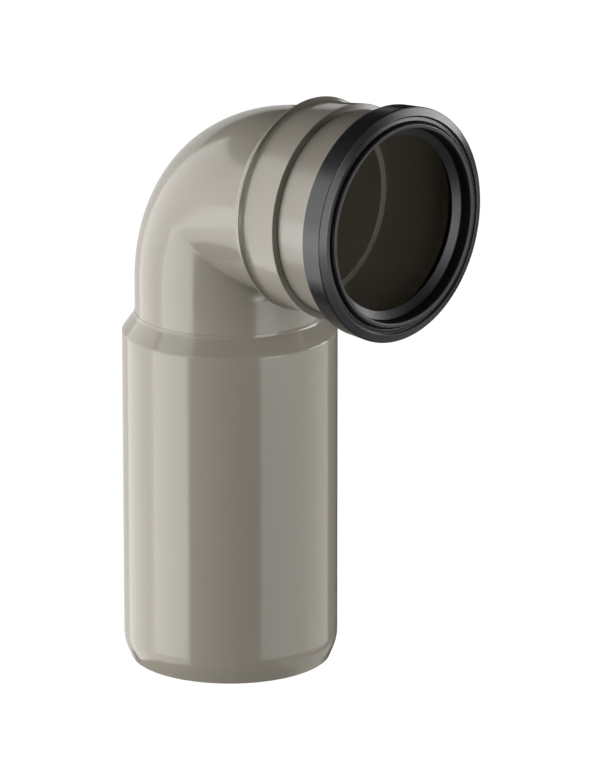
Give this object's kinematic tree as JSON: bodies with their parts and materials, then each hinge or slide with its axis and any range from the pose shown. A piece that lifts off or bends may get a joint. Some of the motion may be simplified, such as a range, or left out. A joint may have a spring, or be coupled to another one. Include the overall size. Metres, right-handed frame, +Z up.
{
  "type": "flue elbow",
  "caption": "Right-angle push-fit plastic elbow: long plain spigot below, short-radius bend, flared bell and socket with a black lip seal and retaining collar.",
  "frame": {"origin": "centre of the spigot's lower end, on the spigot's axis", "axes": "+Z up along the spigot's axis, +X out of the socket's mouth along its axis"},
  "size_m": [0.1987, 0.1354, 0.3524],
  "materials": {
    "smooth_grey_plastic": "smooth warm grey polypropylene, semi-gloss",
    "matte_grey_plastic": "fine-textured warm grey polypropylene, matt",
    "seal_rubber": "black moulded rubber",
    "black_plastic": "black moulded plastic, semi-gloss"
  },
  "bodies": {
    "elbow": {"spigot_pipe": "smooth_grey_plastic", "elbow_bend": "matte_grey_plastic", "socket_sleeve": "matte_grey_plastic"},
    "seal": {"lip_seal": "seal_rubber"},
    "collar": {"retaining_collar": "black_plastic"}
  },
  "joints": [
    {"name": "seal_pull", "type": "slide", "parent": "elbow", "child": "seal", "axis": [1, 0, 0], "range_m": [0, 0.05]},
    {"name": "collar_pull", "type": "slide", "parent": "seal", "child": "collar", "axis": [1, 0, 0], "range_m": [0, 0.06]}
  ]
}
